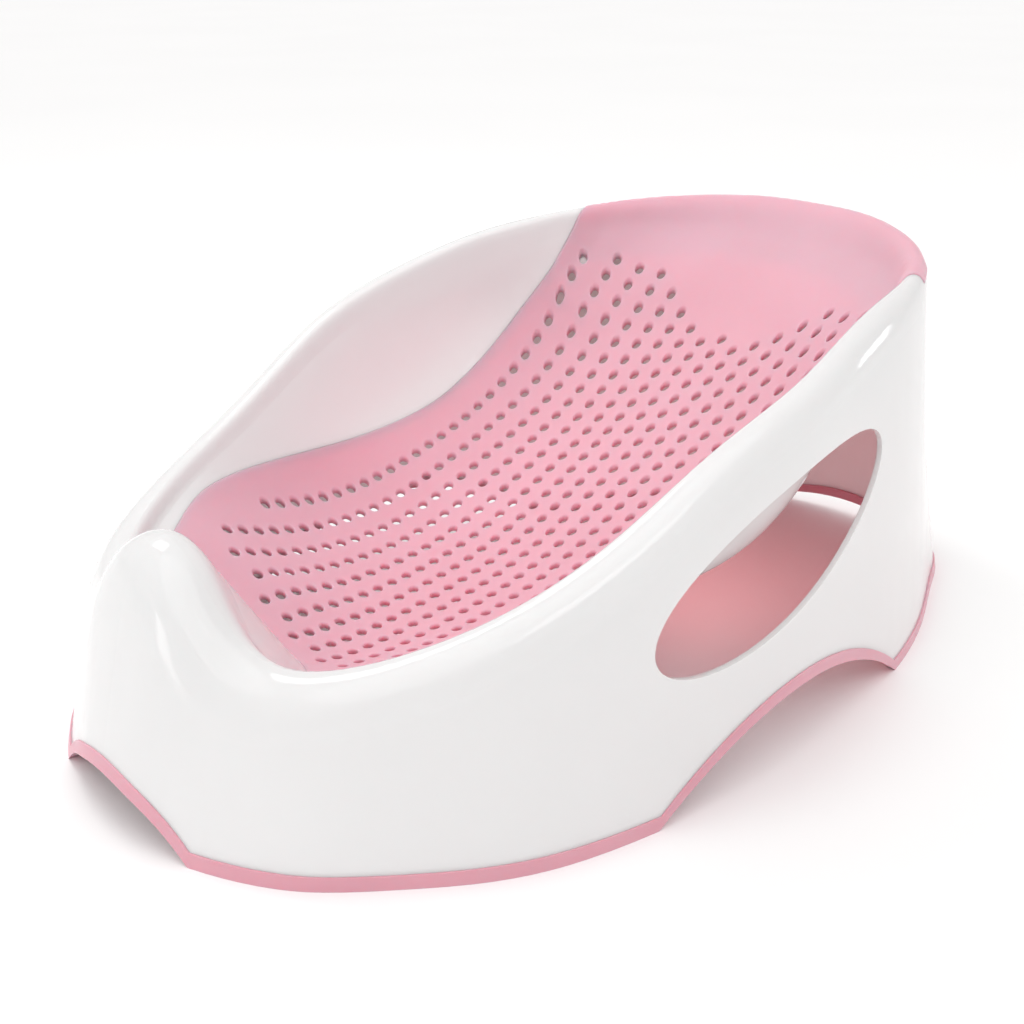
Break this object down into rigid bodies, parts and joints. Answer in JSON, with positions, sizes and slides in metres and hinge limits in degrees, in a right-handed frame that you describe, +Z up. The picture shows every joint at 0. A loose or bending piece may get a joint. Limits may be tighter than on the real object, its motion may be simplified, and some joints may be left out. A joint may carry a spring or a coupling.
{
  "type": "baby bath support",
  "caption": "Free-standing reclined bath seat for a baby: moulded shell with rolled rim, leg divider, side hand holes and arched base, soft perforated sling seat and soft base band.",
  "frame": {"origin": "on the floor under the middle of the whole object", "axes": "+X from the foot end to the head end, +Y across, +Z up"},
  "size_m": [0.5481, 0.3434, 0.2197],
  "materials": {
    "white_shell": "glossy injection-moulded polypropylene",
    "soft_seat": "matte soft thermoplastic elastomer, perforated",
    "soft_trim": "matte soft thermoplastic elastomer"
  },
  "bodies": {
    "root": {"shell": "white_shell", "seat": "soft_seat", "base_trim": "soft_trim"}
  },
  "joints": []
}
